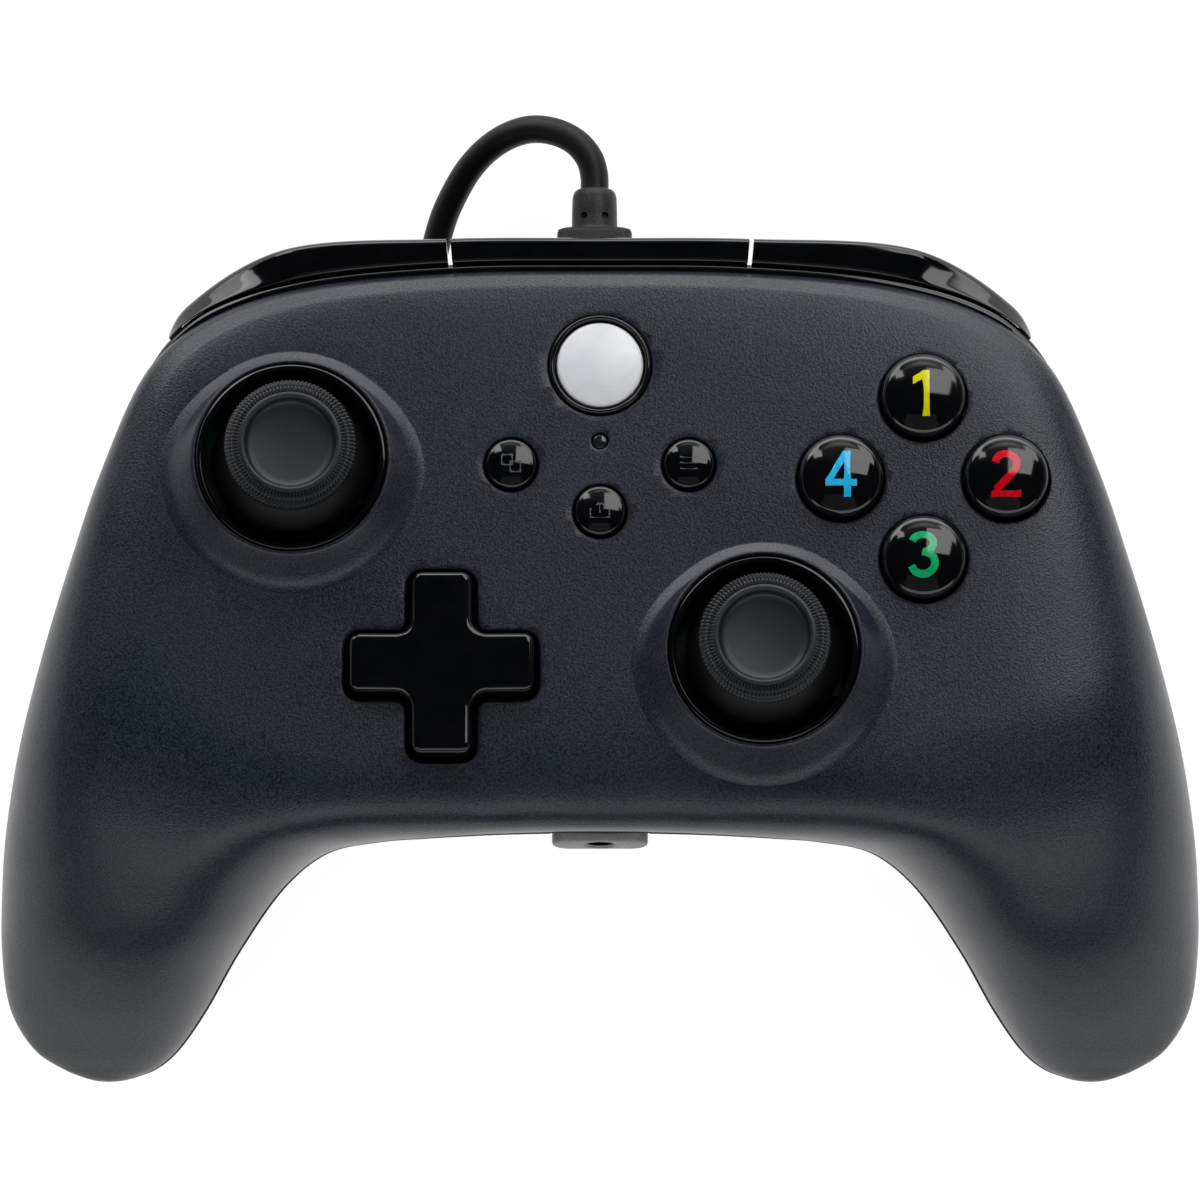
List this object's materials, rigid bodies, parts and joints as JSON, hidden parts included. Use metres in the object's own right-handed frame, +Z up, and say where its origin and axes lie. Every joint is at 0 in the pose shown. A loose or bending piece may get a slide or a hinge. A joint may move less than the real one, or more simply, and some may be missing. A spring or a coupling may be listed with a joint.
{
  "type": "wired gamepad",
  "caption": "Two-handed game controller with tilting thumb sticks, a rocking cross pad, press buttons, bumpers, hinged triggers and a cable on a loose coil.",
  "frame": {"origin": "middle of the outline's bounding box on the table, without the cord", "axes": "+X to the player's right, +Y away from the player towards the cable side, +Z up"},
  "size_m": [0.1534, 0.1238, 0.0568],
  "materials": {
    "shell": "moulded ABS, fine spark texture, satin",
    "rear": "moulded ABS, fine texture, matte",
    "gloss": "polished ABS",
    "home": "polished translucent white",
    "stick_rubber": "thermoplastic rubber, matte",
    "metal": "plated steel",
    "nylon": "natural nylon",
    "silicone": "translucent silicone",
    "board": "glass-fibre laminate, green mask",
    "light": "smoked clear",
    "jack": "moulded plastic",
    "cable": "soft vinyl, satin",
    "plug_metal": "plated steel"
  },
  "bodies": {
    "housing": {"front_shell": "shell", "rear_shell": "rear", "top_trim": "gloss", "bumper_bridge": "gloss", "home_bezel": "gloss", "status_light": "light", "action_pad": "silicone", "dpad_pad": "silicone", "menu_pad": "silicone", "home_switch": "jack", "main_board": "board", "board_screws": "metal", "shell_screws": "metal", "headphone_jack": "jack", "cable_strain_relief": "cable", "cable_lead": "cable", "cable_coil": "cable", "cable_tie": "cable", "usb_plug_grip": "cable", "usb_plug_shell": "plug_metal", "left_trigger_pin": "metal", "left_trigger_spring": "metal", "left_stick_ring": "gloss", "left_stick_module": "metal", "left_rumble_motor": "metal", "right_trigger_pin": "metal", "right_trigger_spring": "metal", "right_stick_ring": "gloss", "right_stick_module": "metal", "right_rumble_motor": "metal"},
    "left_bumper": {"left_bumper": "gloss"},
    "left_trigger": {"left_trigger": "gloss"},
    "left_stick_gimbal": {"left_stick_gimbal": "nylon"},
    "left_stick_pivot": {"left_stick_pivot": "nylon"},
    "left_stick_rocker": {"left_stick_rocker": "nylon"},
    "left_stick": {"left_stick_cap": "stick_rubber", "left_stick_shaft": "metal"},
    "left_rumble_weight": {"left_rumble_weight": "metal"},
    "right_bumper": {"right_bumper": "gloss"},
    "right_trigger": {"right_trigger": "gloss"},
    "right_stick_gimbal": {"right_stick_gimbal": "nylon"},
    "right_stick_pivot": {"right_stick_pivot": "nylon"},
    "right_stick_rocker": {"right_stick_rocker": "nylon"},
    "right_stick": {"right_stick_cap": "stick_rubber", "right_stick_shaft": "metal"},
    "right_rumble_weight": {"right_rumble_weight": "metal"},
    "top_button": {"top_button": "gloss"},
    "left_button": {"left_button": "gloss"},
    "right_button": {"right_button": "gloss"},
    "bottom_button": {"bottom_button": "gloss"},
    "home_button": {"home_button": "home"},
    "view_button": {"view_button": "gloss"},
    "menu_button": {"menu_button": "gloss"},
    "share_button": {"share_button": "gloss"},
    "dpad_pivot": {"dpad_pivot": "nylon"},
    "dpad_cap": {"dpad_cap": "gloss"}
  },
  "joints": [
    {"name": "left_bumper_hinge", "type": "hinge", "parent": "housing", "child": "left_bumper", "pos_m": [-0.0216, 0.05115, 0.0258], "axis": [0, -1, 0], "range_deg": [0, 2], "stiffness_Nm_per_rad": 0.02, "springref_deg": -2.86},
    {"name": "left_trigger_hinge", "type": "hinge", "parent": "housing", "child": "left_trigger", "pos_m": [-0.036, 0.04395, 0.01509], "axis": [-1, 0, 0], "range_deg": [0, 18], "stiffness_Nm_per_rad": 0.006, "springref_deg": -11.46, "deforming": ["left_trigger_spring"]},
    {"name": "left_stick_tip_y", "type": "hinge", "parent": "housing", "child": "left_stick_gimbal", "pos_m": [-0.0392, 0.02422, 0.03339], "axis": [1, 0, 0], "range_deg": [-18, 18], "stiffness_Nm_per_rad": 0.01},
    {"name": "left_stick_tip_x", "type": "hinge", "parent": "left_stick_gimbal", "child": "left_stick_pivot", "pos_m": [-0.0392, 0.02422, 0.03339], "axis": [0, 0.9781, -0.2079], "range_deg": [-18, 18], "stiffness_Nm_per_rad": 0.01},
    {"name": "left_stick_click", "type": "slide", "parent": "left_stick_pivot", "child": "left_stick", "axis": [0, -0.2079, -0.9781], "range_m": [0, 0.0005], "stiffness_N_per_m": 400, "springref_m": -0.0003},
    {"name": "left_stick_rock", "type": "hinge", "parent": "housing", "child": "left_stick_rocker", "pos_m": [-0.0392, 0.02422, 0.03339], "axis": [0, 0.9781, -0.2079], "range_deg": [-22, 22]},
    {"name": "left_rumble_spin", "type": "hinge", "parent": "housing", "child": "left_rumble_weight", "pos_m": [-0.0525, -0.03025, 0.017], "axis": [1, 0, 0], "continuous": true},
    {"name": "right_bumper_hinge", "type": "hinge", "parent": "housing", "child": "right_bumper", "pos_m": [0.0216, 0.05115, 0.0258], "axis": [0, 1, 0], "range_deg": [0, 2], "stiffness_Nm_per_rad": 0.02, "springref_deg": -2.86},
    {"name": "right_trigger_hinge", "type": "hinge", "parent": "housing", "child": "right_trigger", "pos_m": [0.036, 0.04395, 0.01509], "axis": [-1, 0, 0], "range_deg": [0, 18], "stiffness_Nm_per_rad": 0.006, "springref_deg": -11.46, "deforming": ["right_trigger_spring"]},
    {"name": "right_stick_tip_y", "type": "hinge", "parent": "housing", "child": "right_stick_gimbal", "pos_m": [0.0208, -0.00014, 0.03856], "axis": [1, 0, 0], "range_deg": [-18, 18], "stiffness_Nm_per_rad": 0.01},
    {"name": "right_stick_tip_x", "type": "hinge", "parent": "right_stick_gimbal", "child": "right_stick_pivot", "pos_m": [0.0208, -0.00014, 0.03856], "axis": [0, 0.9781, -0.2079], "range_deg": [-18, 18], "stiffness_Nm_per_rad": 0.01},
    {"name": "right_stick_click", "type": "slide", "parent": "right_stick_pivot", "child": "right_stick", "axis": [0, -0.2079, -0.9781], "range_m": [0, 0.0005], "stiffness_N_per_m": 400, "springref_m": -0.0003},
    {"name": "right_stick_rock", "type": "hinge", "parent": "housing", "child": "right_stick_rocker", "pos_m": [0.0208, -0.00014, 0.03856], "axis": [0, 0.9781, -0.2079], "range_deg": [-22, 22]},
    {"name": "right_rumble_spin", "type": "hinge", "parent": "housing", "child": "right_rumble_weight", "pos_m": [0.0525, -0.03025, 0.017], "axis": [1, 0, 0], "continuous": true},
    {"name": "top_button_press", "type": "slide", "parent": "housing", "child": "top_button", "axis": [0, -0.2079, -0.9781], "range_m": [0, 0.0015], "stiffness_N_per_m": 200, "springref_m": -0.0004, "deforming": ["action_pad"]},
    {"name": "left_button_press", "type": "slide", "parent": "housing", "child": "left_button", "axis": [0, -0.2079, -0.9781], "range_m": [0, 0.0015], "stiffness_N_per_m": 200, "springref_m": -0.0004, "deforming": ["action_pad"]},
    {"name": "right_button_press", "type": "slide", "parent": "housing", "child": "right_button", "axis": [0, -0.2079, -0.9781], "range_m": [0, 0.0015], "stiffness_N_per_m": 200, "springref_m": -0.0004, "deforming": ["action_pad"]},
    {"name": "bottom_button_press", "type": "slide", "parent": "housing", "child": "bottom_button", "axis": [0, -0.2079, -0.9781], "range_m": [0, 0.0015], "stiffness_N_per_m": 200, "springref_m": -0.0004, "deforming": ["action_pad"]},
    {"name": "home_button_press", "type": "slide", "parent": "housing", "child": "home_button", "axis": [0, -0.2079, -0.9781], "range_m": [0, 0.0008], "stiffness_N_per_m": 150, "springref_m": -0.0004, "deforming": ["home_switch"]},
    {"name": "view_button_press", "type": "slide", "parent": "housing", "child": "view_button", "axis": [0, -0.2079, -0.9781], "range_m": [0, 0.0008], "stiffness_N_per_m": 100, "springref_m": -0.0004, "deforming": ["menu_pad"]},
    {"name": "menu_button_press", "type": "slide", "parent": "housing", "child": "menu_button", "axis": [0, -0.2079, -0.9781], "range_m": [0, 0.0008], "stiffness_N_per_m": 100, "springref_m": -0.0004, "deforming": ["menu_pad"]},
    {"name": "share_button_press", "type": "slide", "parent": "housing", "child": "share_button", "axis": [0, -0.2079, -0.9781], "range_m": [0, 0.0008], "stiffness_N_per_m": 100, "springref_m": -0.0004, "deforming": ["menu_pad"]},
    {"name": "dpad_tip_y", "type": "hinge", "parent": "housing", "child": "dpad_pivot", "pos_m": [-0.0201, -0.0014, 0.03985], "axis": [1, 0, 0], "range_deg": [-5, 5], "stiffness_Nm_per_rad": 0.02, "deforming": ["dpad_pad"]},
    {"name": "dpad_tip_x", "type": "hinge", "parent": "dpad_pivot", "child": "dpad_cap", "pos_m": [-0.0201, -0.0014, 0.03985], "axis": [0, 0.9781, -0.2079], "range_deg": [-5, 5], "stiffness_Nm_per_rad": 0.02, "deforming": ["dpad_pad"]}
  ],
  "couplings": [
    {"joint": "left_stick_rock", "follows": "left_stick_tip_x", "ratio": 1},
    {"joint": "right_stick_rock", "follows": "right_stick_tip_x", "ratio": 1}
  ]
}
